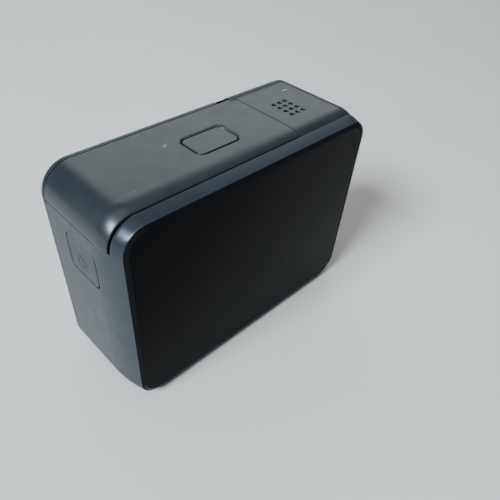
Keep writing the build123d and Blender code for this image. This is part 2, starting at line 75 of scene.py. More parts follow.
whole_low, whole_high = (limit / MM for limit in cad_box)
rear_y = whole_high.y
front_y = span("front_plate")[0].y
shell_front_y = span("top_cover")[0].y
cover_rear_y = span("top_cover")[1].y
panel_rear_y = span("grille_panel")[1].y
frame_depth = 3.1
rim_depth = 0.4
frame_front_y = rear_y - frame_depth
rim_y = rear_y - rim_depth
half_width = whole_high.x
top_z = whole_high.z
mid_z = top_z / 2

# Housing: wall thicknesses, corner radii and how the rear edges are drawn in.
corner = 6.7
front_round = 1.4
skin = 1.2
wall = 2.6
core_inset = 1.35
core_rear_y = 12.2
roll_y = 9.8
roll_radius = 6.0
side_roll = 0.55
crown_y = 7.5
crown_power = 2.0
rear_inset = 1.5
rim_width = 1.07
glass_seat = 1.45
glass_gap = 0.05
window_inset = 5.6
frame_step = 0.35
seam_z = span("top_cover")[0].z
seam = 0.1

# Top wall: grille panel, light slot and microphone notch.
door_x = -30.25
through_top = (48, 53)
grille_x = -13.6
grille_y = -6.65
grille_first = (-18.55, 0.78)
grille_pitch = 1.87
grille_hole = (1.1, 0.9, 0.43)
grille_hole_sides = ((48, 0), (50.86, 0), (51.1, -0.24))
slot_at = (-26.6, -3.4)
slot_size = (2.1, 0.45, 0.2)
notch_x = (-12.2, -8.4)
notch_y = (front_y + 0.25, front_y + 2.0)
notch_floor_z = 49.2
mic_hole_at = (-10.3, 48.0)
mic_hole_radius = 0.5

# Front: lens, its cover and the grooves below it.
lens_x = (span("lens_cover")[0].x + span("lens_cover")[1].x) / 2
lens_z = (span("lens_cover")[0].z + span("lens_cover")[1].z) / 2
lens_opening = 12.15
cover_size = 28.0
cover_corner = 6.0
cover_edge_y = -15.6
cover_round = 1.2
glass_pocket = 23.6
groove_count = 9
groove_first_z = 3.6
groove_pitch = 1.15
groove_height = 0.42
groove_depth = 0.22

# Battery door: hinge, bay opening and latch.
hinge_low, hinge_high = span("door_hinge_pin")
hinge_x = (hinge_low.x + hinge_high.x) / 2
hinge_z = (hinge_low.z + hinge_high.z) / 2
knuckle = 0.95
middle_knuckle = (0.6, 5.4)
bay_y = (-5.9, 12.05)
bay_z = (6.4, 44.9)
bay_cut_x = (-34.5, -31.0)
bay_wall_x = (-33.74, -31.8)
bay_wall_z = (4.9, 46.6)
floor_x = (-32.2, 24)
floor_z = (2.4, 4.95)
latch_y = 2.75
latch_half = 1.3

# Buttons.
shutter_at = (3.3, 3.45)
shutter_size = (11.1, 7.1)
shutter_corner = 1.6
shutter_gap = 0.2
dish_depth = 0.37
dish_width = 1.0
dish_over = 0.13
mode_at = (3.65, 36.45)
mode_size = (10.2, 9.1)
mode_corner = 1.6
mode_gap = 0.1
mode_rear_gap = 0.35

# Folding fingers in the base.
finger_y = 1.5
finger_pivot_x = 3.05
finger_reach = 10.3
finger_pivot_z = 1.6
finger_radius = 7.5
finger_z = (0.1, 3.1)
finger_clearance = 0.35


# ---------------------------------------------------------------- mesh helpers

TURNS = {
    "y": lambda a, b, c: (a, c, b),
    "z": lambda a, b, c: (a, b, c),
    "x": lambda a, b, c: (c, a, b),
}


def run(start, end, direction, steps=1, first=True):
    """Stations along a straight side: base points from start to end, all facing direction."""
    stations = []
    for i in range(0 if first else 1, steps + 1):
        t = i / steps
        base = (start[0] + (end[0] - start[0]) * t, start[1] + (end[1] - start[1]) * t)
        stations.append((base, direction))
    return stations


def turn(centre, first_deg, last_deg, steps=20):
    """Stations round a corner, from one angle to another."""
    stations = []
    for i in range(steps + 1):
        angle = math.radians(first_deg + (last_deg - first_deg) * i / steps)
        stations.append((centre, (math.cos(angle), math.sin(angle))))
    return stations


def rounded(width, height, radius, centre, steps=12):
    """Closed path of a rounded rectangle; returns the path and its corner radius."""
    x, y = width / 2 - radius, height / 2 - radius
    path = []
    for sx, sy, start in ((1, 1, 0), (-1, 1, 90), (-1, -1, 180), (1, -1, 270)):
        path += turn((centre[0] + sx * x, centre[1] + sy * y), start, start + 90, steps)
    return path, radius


def body_path(steps=20):
    return rounded(2 * half_width, top_z, corner, (0, mid_z), steps)


def as_object(bm):
    """Turns a closed bmesh into an object whose faces all point outwards."""
    bmesh.ops.recalc_face_normals(bm, faces=bm.faces)
    if bm.calc_volume(signed=True) < 0:
        bmesh.ops.reverse_faces(bm, faces=bm.faces)
    mesh = bpy.data.meshes.new("shape")
    bm.to_mesh(mesh)
    bm.free()
    shape = bpy.data.objects.new("shape", mesh)
    bpy.context.scene.collection.objects.link(shape)
    return shape


def sweep(path, profile, radius, axis="y", path_closed=True, profile_closed=False):
    """Sweeps a profile of (depth, inset) points along a path of stations.

    The profile can be a function that gives the points for the direction a station faces. A closed
    path with an open profile is closed by a flat face at each end of the profile. An open path with
    a closed profile is closed by a flat face at each end of the path."""
    bm = bmesh.new()
    grid = []
    for base, direction in path:
        row = []
        for depth, inset in profile(direction) if callable(profile) else profile:
            a = base[0] + (radius - inset) * direction[0]
            b = base[1] + (radius - inset) * direction[1]
            row.append(bm.verts.new(TURNS[axis](a, b, depth)))
        grid.append(row)
    rows, columns = len(path), len(grid[0])
    for i in range(rows if path_closed else rows - 1):
        for j in range(columns if profile_closed else columns - 1):
            quad = (grid[i][j], grid[(i + 1) % rows][j], grid[(i + 1) % rows][(j + 1) % columns],
                    grid[i][(j + 1) % columns])
            bm.faces.new(quad)
    if not profile_closed:
        bm.faces.new([row[0] for row in grid])
        bm.faces.new([row[-1] for row in reversed(grid)])
    if not path_closed:
        bm.faces.new(grid[0])
        bm.faces.new(list(reversed(grid[-1])))
    bmesh.ops.remove_doubles(bm, verts=bm.verts, dist=1e-4)
    return as_object(bm)


def plate(width, height, radius, depths, centre, axis="y", steps=12, edge=0.0, edge_steps=4):
    """Rounded rectangle as thick as depths; edge rounds the rim at the second depth."""
    path, radius = rounded(width, height, radius, centre, steps)
    low, high = depths
    profile = [(low, 0.0)]
    if edge:
        side = 1 if high > low else -1
        for i in range(edge_steps + 1):
            angle = math.radians(90 * i / edge_steps)
            profile.append((high - side * edge * (1 - math.sin(angle)), edge * (1 - math.cos(angle))))
    else:
        profile.append((high, 0.0))
    return sweep(path, profile, radius, axis)


def box(low, high):
    """Box between two corners, as a swept square."""
    centre = ((low[0] + high[0]) / 2, (low[1] + high[1]) / 2)
    half_x, half_y = (high[0] - low[0]) / 2, (high[1] - low[1]) / 2
    diagonal = math.hypot(half_x, half_y)
    path = [(centre, (sx * half_x / diagonal, sy * half_y / diagonal))
            for sx, sy in ((1, 1), (-1, 1), (-1, -1), (1, -1))]
    return sweep(path, [(low[2], 0), (high[2], 0)], diagonal, "z")


def circle(centre, steps):
    """Closed circular path about a centre; the profile's inset gives its radius."""
    angles = [2 * math.pi * i / steps for i in range(steps)]
    return [(centre, (math.cos(angle), math.sin(angle))) for angle in angles]


def lathe(centre, profile, axis="y", steps=64):
    """Solid turned about an axis; profile is (depth, radius) from one end to the other."""
    return sweep(circle(centre, steps), [(depth, -radius) for depth, radius in profile], 0, axis)


def ring(centre, profile, axis="y", steps=96):
    """Ring turned about an axis; profile is a closed loop of (depth, radius)."""
    points = [(depth, -radius) for depth, radius in profile]
    return sweep(circle(centre, steps), points, 0, axis, profile_closed=True)


def combine(shape, other, operation="DIFFERENCE"):
    """Cuts other out of shape, joins them or keeps what they share; other is used up."""
    modifier = shape.modifiers.new("combine", "BOOLEAN")
    modifier.operation = operation
    modifier.solver = "EXACT"
    modifier.object = other
    apply_modifiers(shape)
    bpy.data.objects.remove(other)
    return shape


def cut(shape, *others):
    for other in others:
        combine(shape, other)
    return shape


def fuse(shape, *others):
    for other in others:
        combine(shape, other, "UNION")
    return shape


def apply_modifiers(shape):
    bpy.context.view_layer.update()
    evaluated = shape.evaluated_get(bpy.context.evaluated_depsgraph_get())
    mesh = bpy.data.meshes.new_from_object(evaluated)
    shape.modifiers.clear()
    shape.data = mesh


def soften(shape, width, segments=3, angle=35, keep=None):
    """Rounds every sharp edge a little, as a moulded part has; keep picks the edges that stay crisp."""
    bm = bmesh.new()
    bm.from_mesh(shape.data)
    bmesh.ops.remove_doubles(bm, verts=bm.verts, dist=2e-4)
    bmesh.ops.dissolve_limit(bm, angle_limit=math.radians(0.3), verts=bm.verts, edges=bm.edges)
    weight = bm.edges.layers.float.new("bevel_weight_edge")
    for edge in bm.edges:
        sharp = edge.is_manifold and edge.calc_face_angle(0.0) > math.radians(angle)
        middle = (edge.verts[0].co + edge.verts[1].co) / 2
        edge[weight] = 1.0 if sharp and not (keep and keep(middle)) else 0.0
    bm.to_mesh(shape.data)
    bm.free()
    modifier = shape.modifiers.new("soften", "BEVEL")
    modifier.width = width
    modifier.segments = segments
    modifier.limit_method = "WEIGHT"
    modifier.harden_normals = True
    modifier.use_clamp_overlap = True
    apply_modifiers(shape)
    return shape


def even_shading(shape):
    """Keeps large faces looking flat beside the small ones that round their edges."""
    modifier = shape.modifiers.new("even_shading", "WEIGHTED_NORMAL")
    modifier.mode = "FACE_AREA"
    modifier.weight = 50
    modifier.keep_sharp = True


def finish_piece(shape, name, body, slot, material, *stands_for, smooth=40):
    """Turns a shape into a finished piece: metres, shading, material, body and the nodes it stands for."""
    shape.name = name
    shape.data.name = name
    shape.data.transform(Matrix.Scale(MM, 4))
    shape.data.shade_smooth()
    shape.data.set_sharp_from_angle(angle=math.radians(smooth))
    even_shading(shape)
    shape.data.materials.clear()
    shape.data.materials.append(material)
    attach(shape, body)
    if stands_for:
        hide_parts(*stands_for)
    return shape


def paint_black_rim_and_shade(piece, chosen):
    """Gives the chosen faces of a finished piece the black gloss of the rim; on the faces inside the groove
    and the notch this black is painted shade.
    """
    piece.data.materials.append(rim_gloss_and_painted_shade)
    for face in piece.data.polygons:
        if chosen(face):
            face.material_index = 1
    return piece


# ---------------------------------------------------------------- materials

def principled(name):
    material = bpy.data.materials.new(name)
    material.use_nodes = True
    tree = material.node_tree
    shader = tree.nodes["Principled BSDF"]
    return material, tree, shader


def add(tree, kind, **values):
    node = tree.nodes.new(kind)
    for key, value in values.items():
        if key in node.inputs:
            node.inputs[key].default_value = value
        else:
            setattr(node, key, value)
    return node


def position(tree):
    return add(tree, "ShaderNodeTexCoord").outputs["Object"]


def noise(tree, scale, detail=3.0, roughness=0.55):
    node = add(tree, "ShaderNodeTexNoise", Scale=scale, Detail=detail, Roughness=roughness)
    tree.links.new(position(tree), node.inputs["Vector"])
    return node.outputs["Fac"]


def spread(tree, source, low, high, source_low=0.3, source_high=0.7):
    node = tree.nodes.new("ShaderNodeMapRange")
    node.inputs["From Min"].default_value = source_low
    node.inputs["From Max"].default_value = source_high
    node.inputs["To Min"].default_value = low
    node.inputs["To Max"].default_value = high
    tree.links.new(source, node.inputs["Value"])
    return node.outputs["Result"]


def blend_colours(tree, factor, first, second):
    node = add(tree, "ShaderNodeMix", data_type="RGBA")
    tree.links.new(factor, node.inputs["Factor"])
    node.inputs[6].default_value = (*first, 1)
    node.inputs[7].default_value = (*second, 1)
    return node.outputs[2]


def bump(tree, shader, source, distance, strength=1.0, chain=None):
    node = add(tree, "ShaderNodeBump", Distance=distance, Strength=strength)
    tree.links.new(source, node.inputs["Height"])
    if chain is not None:
        tree.links.new(chain, node.inputs["Normal"])
    tree.links.new(node.outputs["Normal"], shader.inputs["Normal"])
    return node.outputs["Normal"]


def scuffs(tree, scale, threshold):
    """Rare short specks, such as small knocks on a satin surface."""
    stretched = add(tree, "ShaderNodeMapping")
    stretched.inputs["Scale"].default_value = (0.45, 1.0, 1.0)
    tree.links.new(position(tree), stretched.inputs["Vector"])
    node = add(tree, "ShaderNodeTexNoise", Scale=scale, Detail=2.0, Roughness=0.4)
    tree.links.new(stretched.outputs["Vector"], node.inputs["Vector"])
    return spread(tree, node.outputs["Fac"], 0.0, 1.0, threshold, threshold + 0.03)


def moulded(name, dark, light, rough, grain=7000, grain_depth=0.000012, scuff=0.8, specular=0.5,
            tint=(1.0, 1.0, 1.0)):
    """Moulded plastic: faint mottling, fine grain, rare scuffs and uneven gloss."""
    material, tree, shader = principled(name)
    cloud = noise(tree, 90, 4.0)
    fine = noise(tree, grain, 2.0, 0.5)
    wear = scuffs(tree, 420, scuff)
    colour = blend_colours(tree, spread(tree, cloud, 0.0, 1.0), dark, light)
    worn = add(tree, "ShaderNodeMix", data_type="RGBA")
    tree.links.new(wear, worn.inputs["Factor"])
    tree.links.new(colour, worn.inputs[6])
    worn.inputs[7].default_value = (*[min(1.0, 4 * c + 0.03) for c in light], 1)
    tree.links.new(worn.outputs[2], shader.inputs["Base Color"])
    uneven = noise(tree, 260, 5.0, 0.6)
    tree.links.new(spread(tree, uneven, rough - 0.035, rough + 0.045), shader.inputs["Roughness"])
    shader.inputs["Specular IOR Level"].default_value = specular
    shader.inputs["Specular Tint"].default_value = (*tint, 1)
    bump(tree, shader, fine, grain_depth, 0.6)
    return material


def polished(name, dark, light, rough, ior=1.5, specular=0.5):
    """Polished black-backed glass or gloss plastic with faint smudges."""
    material, tree, shader = principled(name)
    smudge = noise(tree, 60, 6.0, 0.65)
    colour = blend_colours(tree, spread(tree, smudge, 0, 1), dark, light)
    tree.links.new(colour, shader.inputs["Base Color"])
    tree.links.new(spread(tree, noise(tree, 140, 5.0, 0.7), rough * 0.7, rough * 1.6, 0.35, 0.75),
                   shader.inputs["Roughness"])
    shader.inputs["IOR"].default_value = ior
    shader.inputs["Specular IOR Level"].default_value = specular
    bump(tree, shader, noise(tree, 25, 2.0), 0.00001, 0.15)
    return material


def metal(name, dark, light, rough, brushed=True):
    """Metal with fine brushing or bead-blast grain."""
    material, tree, shader = principled(name)
    if brushed:
        mapping = add(tree, "ShaderNodeMapping")
        mapping.inputs["Scale"].default_value = (1.0, 25.0, 25.0)
        tree.links.new(position(tree), mapping.inputs["Vector"])
        node = add(tree, "ShaderNodeTexNoise", Scale=500.0, Detail=3.0)
        tree.links.new(mapping.outputs["Vector"], node.inputs["Vector"])
        grain = node.outputs["Fac"]
    else:
        grain = noise(tree, 6000, 2.0)
    colour = blend_colours(tree, spread(tree, grain, 0, 1), dark, light)
    tree.links.new(colour, shader.inputs["Base Color"])
    tree.links.new(spread(tree, grain, rough - 0.06, rough + 0.08), shader.inputs["Roughness"])
    shader.inputs["Metallic"].default_value = 1.0
    bump(tree, shader, grain, 0.000006, 0.4)
    return material


def clear_glass(name, tint, rough=0.01):
    """Coated optical glass with faint uneven polish."""
    material, tree, shader = principled(name)
    tree.links.new(blend_colours(tree, spread(tree, noise(tree, 80), 0, 1), tint, (1, 1, 1)),
                   shader.inputs["Base Color"])
    tree.links.new(spread(tree, noise(tree, 200, 4.0), rough * 0.5, rough * 2), shader.inputs["Roughness"])
    shader.inputs["Transmission Weight"].default_value = 1.0
    shader.inputs["IOR"].default_value = 1.5
    shader.inputs["Coat Weight"].default_value = 0.4
    shader.inputs["Coat Tint"].default_value = (0.75, 0.8, 1.0, 1)
    return material


def woven(name, dark, light, scale):
    """Fine woven mesh or webbing."""
    material, tree, shader = principled(name)
    heights = []
    for axis in ("X", "Y"):
        wave = add(tree, "ShaderNodeTexWave", Scale=scale, Distortion=0.3)
        wave.bands_direction = axis
        tree.links.new(position(tree), wave.inputs["Vector"])
        heights.append(wave.outputs["Fac"])
    both = add(tree, "ShaderNodeMath", operation="MAXIMUM")
    tree.links.new(heights[0], both.inputs[0])
    tree.links.new(heights[1], both.inputs[1])
    tree.links.new(blend_colours(tree, both.outputs[0], dark, light), shader.inputs["Base Color"])
    tree.links.new(spread(tree, noise(tree, 900), 0.6, 0.8), shader.inputs["Roughness"])
    bump(tree, shader, both.outputs[0], 0.00003, 0.8)
    return material


def circuit(name):
    """Circuit board: solder mask with faint tracks and pads."""
    material, tree, shader = principled(name)
    brick = add(tree, "ShaderNodeTexBrick", Scale=260.0)
    brick.inputs["Color1"].default_value = (0.01, 0.06, 0.03, 1)
    brick.inputs["Color2"].default_value = (0.012, 0.09, 0.045, 1)
    brick.inputs["Mortar"].default_value = (0.03, 0.16, 0.08, 1)
    brick.inputs["Mortar Size"].default_value = 0.012
    tree.links.new(position(tree), brick.inputs["Vector"])
    tree.links.new(brick.outputs["Color"], shader.inputs["Base Color"])
    tree.links.new(spread(tree, noise(tree, 700), 0.3, 0.45), shader.inputs["Roughness"])
    bump(tree, shader, brick.outputs["Fac"], 0.00002, 0.5)
    return material


# The bluish specular tint is painted reflection: it colours the shell's sheen with the blue of the window
# light.
shell_plastic = moulded("shell_plastic", (0.010, 0.0135, 0.0175), (0.014, 0.018, 0.023), 0.34,
                        specular=0.32, tint=(0.84, 0.93, 1.0))
cover_plastic = moulded("cover_plastic", (0.010, 0.0125, 0.0145), (0.014, 0.017, 0.019), 0.33,
                        scuff=0.755, specular=0.45)
# Black gloss of the rear rim; the same material is put on the groove and notch faces as painted shade.
rim_gloss_and_painted_shade = polished("rim_gloss_and_painted_shade", (0.004, 0.005, 0.006), (0.007, 0.008, 0.009), 0.2, 1.5, 0.04)
mode_plastic = moulded("mode_plastic", (0.011, 0.0115, 0.015), (0.016, 0.0165, 0.021), 0.42, 5200, 0.00003,
                       scuff=0.84, specular=0.4)
button_plastic = moulded("button_plastic", (0.010, 0.0125, 0.0145), (0.014, 0.017, 0.019), 0.34, scuff=0.82)
screen_glass = polished("screen_glass", (0.0015, 0.0015, 0.0018), (0.003, 0.003, 0.0035), 0.05, 1.5, 0.04)
display_panel = polished("display_panel", (0.004, 0.004, 0.006), (0.008, 0.008, 0.011), 0.2)
optical_glass = clear_glass("optical_glass", (0.86, 0.9, 0.95))
lens_coating = clear_glass("lens_coating", (0.72, 0.74, 0.95))
black_metal = metal("black_metal", (0.02, 0.02, 0.022), (0.035, 0.035, 0.04), 0.34, brushed=False)
bright_steel = metal("bright_steel", (0.45, 0.45, 0.46), (0.62, 0.62, 0.63), 0.28)
spreader_metal = metal("spreader_metal", (0.5, 0.5, 0.52), (0.65, 0.65, 0.67), 0.35)
contact_brass = metal("contact_brass", (0.7, 0.5, 0.2), (0.85, 0.65, 0.3), 0.25, brushed=False)
finger_metal = moulded("finger_metal", (0.018, 0.018, 0.02), (0.026, 0.026, 0.029), 0.36, scuff=0.76)
seal_rubber = moulded("seal_rubber", (0.012, 0.012, 0.012), (0.02, 0.02, 0.02), 0.7, scuff=0.95)
inner_plastic = moulded("inner_plastic", (0.03, 0.03, 0.032), (0.045, 0.045, 0.048), 0.5, scuff=0.95)
chip_black = moulded("chip_black", (0.02, 0.02, 0.02), (0.03, 0.03, 0.03), 0.45, scuff=0.95)
battery_wrap = moulded("battery_wrap", (0.10, 0.12, 0.15), (0.13, 0.15, 0.18), 0.4, scuff=0.78)
ceramic_patch = moulded("ceramic_patch", (0.62, 0.59, 0.52), (0.74, 0.71, 0.64), 0.35, scuff=0.95)
flex_film = moulded("flex_film", (0.32, 0.16, 0.03), (0.42, 0.22, 0.05), 0.3, scuff=0.95)
mesh_fabric = woven("mesh_fabric", (0.002, 0.002, 0.002), (0.02, 0.02, 0.02), 1200)
pull_tab = woven("pull_tab", (0.02, 0.02, 0.02), (0.06, 0.06, 0.06), 700)
light_pipe = polished("light_pipe", (0.25, 0.26, 0.27), (0.35, 0.36, 0.37), 0.25)
circuit_board = circuit("circuit_board")
adhesive = moulded("adhesive", (0.01, 0.01, 0.01), (0.015, 0.015, 0.015), 0.6, scuff=0.95)

SLOT_MATERIALS = {
    "shell_plastic": shell_plastic,
    "cover_plastic": cover_plastic,
    "screen_glass": screen_glass,
    "optical_glass": optical_glass,
    "display_panel": display_panel,
    "adhesive": adhesive,
    "mesh_fabric": mesh_fabric,
    "light_pipe": light_pipe,
    "spreader_metal": spreader_metal,
    "circuit_board": circuit_board,
    "chip_black": chip_black,
    "flex_film": flex_film,
    "lens_metal": black_metal,
    "seal_rubber": seal_rubber,
    "button_plastic": button_plastic,
    "bright_steel": bright_steel,
    "battery_wrap": battery_wrap,
    "pull_tab": pull_tab,
    "inner_plastic": inner_plastic,
    "contact_brass": contact_brass,
    "ceramic_patch": ceramic_patch,
    "finger_metal": finger_metal,
}


# ---------------------------------------------------------------- profiles of the body

def crown_inset(y):
    return rear_inset * (max(0.0, y - crown_y) / (rim_y - crown_y)) ** crown_power


def rolled_edge(y_end, inset, share):
    """Points of a rolled-off rear edge, at an inset below its surface; share is how much it rolls."""
    radius = roll_radius - inset
    last = math.asin((y_end - roll_y) / radius)
    points = []
    for i in range(9):
        angle = last * i / 8
        drop = share * radius * (1 - math.cos(angle))
        points.append((roll_y + radius * math.sin(angle), inset + drop))
    return points


def skin_profile(y_start, y_end, depth):
    """Closed profile of a thin cover that ends in the rolled-off edge, less rolled at the two sides."""
    def points(direction):
        share = 1 - (1 - side_roll) * direction[0]**2
        outer = [(y_start + (roll_y - y_start) * i / 4, 0.0) for i in range(4)]
        outer += rolled_edge(y_end, 0.0, share)
        return outer + list(reversed(rolled_edge(y_end, depth, share))) + [(y_start, depth)]
    return points


def crowned_profile(y_start, y_end, depth):
    """Closed profile of the lower wall, gently drawn in towards the rear."""
    outer = [(y_start, 0.0)]
    for i in range(13):
        y = crown_y + (y_end - crown_y) * i / 12
        outer.append((y, crown_inset(y)))
    return outer + [(y_end, depth), (y_start, depth)]


def meets_shell(point):
    """True on the closed joint between the lower wall and the rear frame."""
    return abs(point.y - frame_front_y) < 0.1 and point.z < seam_z + 0.3 and outline_depth(point) < wall


def beside_slit(point):
    """True on the wall's crisp edge at the rear of the mode button, where the gap is widest."""
    edge_y = mode_at[0] + mode_size[0] / 2
    return point.x > half_width - 1 and abs(point.y - edge_y) < 0.2


def notch_shade_faces(face):
    """True on the inner faces of the microphone notch in the finished front plate; these faces get black as
    painted shade.
    """
    x, y, z = face.center / MM
    beside = abs(x - sum(notch_x) / 2) < 1.86
    return beside and notch_y[0] - 0.05 < y < notch_y[1] + 0.05 and notch_floor_z - 0.2 < z < top_z - 0.25


def outline_depth(point):
    """Distance from the body's outline, measured inwards across the Y axis."""
    dx = abs(point.x) - (half_width - corner)
    dz = abs(point.z - mid_z) - (mid_z - corner)
    if dx > 0 and dz > 0:
        return corner - math.hypot(dx, dz)
    return corner - max(dx, dz)


corner_right = (half_width - corner, top_z - corner)
corner_left = (-half_width + corner, top_z - corner)
foot_right = (half_width - corner, corner)
foot_left = (-half_width + corner, corner)


def arc_angle(x_or_z, centre_value):
    return math.degrees(math.asin((x_or_z - centre_value) / corner))


# ---------------------------------------------------------------- housing pieces

def make_top_cover():
    start = (grille_x, corner_right[1])
    path = run(start, corner_right, (0, 1), 8)[:-1]
    path += turn(corner_right, 90, arc_angle(seam_z, corner_right[1]), 26)
    cover = sweep(path, skin_profile(shell_front_y, cover_rear_y, skin), corner,
                  path_closed=False, profile_closed=True)
    width, depth = shutter_size
    cut(cover, plate(width, depth, shutter_corner, through_top, shutter_at, "z"))
    dish_path, dish_radius = rounded(width, depth, shutter_corner, shutter_at, 12)
    dish_sides = [(top_z - dish_depth, 0.0), (top_z + dish_over, -dish_width)]
    cut(cover, sweep(dish_path, dish_sides, dish_radius, "z"))
    cut(cover, box((grille_x - 5, front_y - 1, 40), (notch_x[0] + seam, grille_y, 53)))
    soften(cover, 0.16)
    piece = finish_piece(cover, "top_cover_skin", "camera_body", "cover_plastic", cover_plastic,
                         "top_cover")
    # Painted shade: the cover's rear end faces, deep in the groove by the rear frame, get the black rim
    # material so the groove reads dark.
    end_y = (cover_rear_y - 0.06) * MM
    return paint_black_rim_and_shade(piece, lambda face: face.center.y > end_y and face.normal.y > 0.9)


def make_grille_panel():
    low_x = door_x + seam
    path = turn(corner_left, 90 + arc_angle(-low_x, -corner_left[0]), 90, 6)
    path += run(corner_left, (grille_x - seam, corner_left[1]), (0, 1), 4, first=False)
    panel = sweep(path, skin_profile(grille_y, panel_rear_y, skin), corner,
                  path_closed=False, profile_closed=True)
    for column in range(3):
        for row in range(4):
            centre = (grille_first[0] - grille_pitch * column, grille_first[1] + grille_pitch * row)
            path, radius = rounded(*grille_hole, centre, 6)
            cut(panel, sweep(path, grille_hole_sides, radius, "z"))
    cut(panel, plate(*slot_size, through_top, slot_at, "z", steps=5))
    soften(panel, 0.12)
    return finish_piece(panel, "grille_panel_skin", "camera_body", "cover_plastic", cover_plastic,
                        "grille_panel")


def make_front_plate():
    path, radius = body_path(24)
    back_y = shell_front_y - seam
    profile = [(back_y, 0.0)]
    for i in range(9):
        angle = math.radians(90 * i / 8)
        depth = front_y + front_round * (1 - math.sin(angle))
        profile.append((depth, front_round * (1 - math.cos(angle))))
    front = sweep(path, profile, radius)
    low_x = door_x + seam
    tab_path = turn(corner_left, 90 + arc_angle(-low_x, -corner_left[0]), 90, 6)
    tab_path += run(corner_left, (notch_x[0], corner_left[1]), (0, 1), 3, first=False)
    tab_profile = [(back_y - 0.4, 0.2), (back_y + 0.5, 0.0), (grille_y - seam, 0.0),
                   (grille_y - seam, skin), (back_y - 0.4, skin)]
    fuse(front, sweep(tab_path, tab_profile, corner, path_closed=False, profile_closed=True))
    cut(front, lathe((lens_x, lens_z), [(front_y - 1, lens_opening), (0, lens_opening)]))
    low, high = span("front_glass")
    centre = ((low.x + high.x) / 2, (low.z + high.z) / 2)
    width, height = high.x - low.x, high.z - low.z
    cut(front, plate(width + 0.2, height + 0.2, 2.7, (front_y - 1, front_y + 0.9), centre),
        plate(width - 2, height - 3, 1.5, (front_y - 1, 0), centre))
    cut(front, box((notch_x[0], notch_y[0], notch_floor_z), (notch_x[1], notch_y[1], 52)))
    cut(front, lathe(mic_hole_at, [(front_y - 1, mic_hole_radius), (0, mic_hole_radius)], steps=24))
    groove_y = (front_y - 1, front_y + groove_depth)
    for i in range(groove_count):
        z = groove_first_z + groove_pitch * i
        cut(front, plate(56 if i > 1 else 50, groove_height, 0.2, groove_y, (0, z), steps=5))
    soften(front, 0.13)
    piece = finish_piece(front, "front_plate_panel", "camera_body", "shell_plastic", shell_plastic,
                         "front_plate")
    # Painted shade: the notch's inner faces get the black rim material.
    return paint_black_rim_and_shade(piece, notch_shade_faces)


def make_rear_frame():
    path, radius = body_path(24)
    outer = []
    for i in range(6):
        y = frame_front_y + (rim_y - frame_front_y) * i / 5
        outer.append((y, crown_inset(y)))
    lip = rear_inset + rim_width
    seat_y = rear_y - glass_seat
    back_y = core_rear_y + 0.1
    inner = wall + frame_step
    profile = outer + [(rear_y, lip), (seat_y, lip), (seat_y, window_inset), (back_y, window_inset),
                       (back_y, inner), (frame_front_y, inner)]
    ring_shape = sweep(path, profile, radius, profile_closed=True)
    soften(ring_shape, 0.14, angle=18, keep=meets_shell)
    piece = finish_piece(ring_shape, "rear_frame_ring", "camera_body", "shell_plastic", shell_plastic,
                         "rear_frame")
    start_y = (rim_y + 0.05) * MM
    return paint_black_rim_and_shade(piece, lambda face: face.center.y > start_y and face.normal.y > 0.2)


def make_touch_glass():
    path, radius = body_path(24)
    inset = rear_inset + rim_width + glass_gap
    low, high = span("touch_glass")
    profile = [(low.y, inset), (high.y - 0.14, inset), (high.y - 0.04, inset + 0.04),
               (high.y, inset + 0.14)]
    glass = sweep(path, profile, radius)
    return finish_piece(glass, "touch_glass_pane", "camera_body", "screen_glass", screen_glass,
                        "touch_glass", smooth=25)


def make_body_shell():
    path = run((half_width - corner, seam_z - seam), foot_right, (1, 0), 8)[:-1]
    path += turn(foot_right, 0, -90, 24)
    path += run(foot_right, foot_left, (0, -1), 10, first=False)[:-1]
    path += turn(foot_left, -90, -126, 10)
    shell = sweep(path, crowned_profile(shell_front_y, frame_front_y + 0.05, wall), corner,
                  path_closed=False, profile_closed=True)
    core_path = run(corner_left, corner_right, (0, 1), 4)[:-1]
    core_path += turn(corner_right, 90, 0, 20)
    core_path += run(corner_right, (corner_right[0], 42), (1, 0), 1, first=False)
    core_profile = [(shell_front_y, core_inset), (core_rear_y, 1.9), (core_rear_y, wall + 0.01),
                    (shell_front_y, wall + 0.01)]
    fuse(shell, sweep(core_path, core_profile, corner, path_closed=False, profile_closed=True))
    for x, z in ((bay_wall_x, bay_wall_z), (floor_x, floor_z)):
        fuse(shell, box((x[0], shell_front_y, z[0]), (x[1], core_rear_y, z[1])))
    cut(shell, box((bay_cut_x[0], bay_y[0], bay_z[0]), (bay_cut_x[1], bay_y[1], bay_z[1])))
    room = knuckle + 0.4
    cut(shell, lathe((hinge_x, hinge_z), [(shell_front_y - 1, room), (core_rear_y + 2, room)]))
    low_y, high_y = middle_knuckle
    lug = lathe((hinge_x, hinge_z), [(low_y, knuckle), (high_y, knuckle)], steps=40)
    fuse(lug, box((hinge_x, low_y, hinge_z - 0.8), (hinge_x + 2.4, high_y, hinge_z + 0.8)))
    fuse(shell, lug)
    cut(shell, plate(mode_size[0], mode_size[1], mode_corner, (30, 37), mode_at, "x"))
    cut(shell, finger_recess())
    soften(shell, 0.24, keep=lambda point: meets_shell(point) or beside_slit(point))
    return finish_piece(shell, "body_shell_wall", "camera_body", "shell_plastic", shell_plastic,
                        "body_shell")


def finger_recess():
    half = finger_pivot_x + finger_reach + finger_radius + finger_clearance
    recess = plate(2 * half, 15.7, 7.6, (-1, 3.45), (0, finger_y), "z", steps=20)
    return cut(recess, box((-1.3, -12, 0.1), (1.3, 18, 5)))


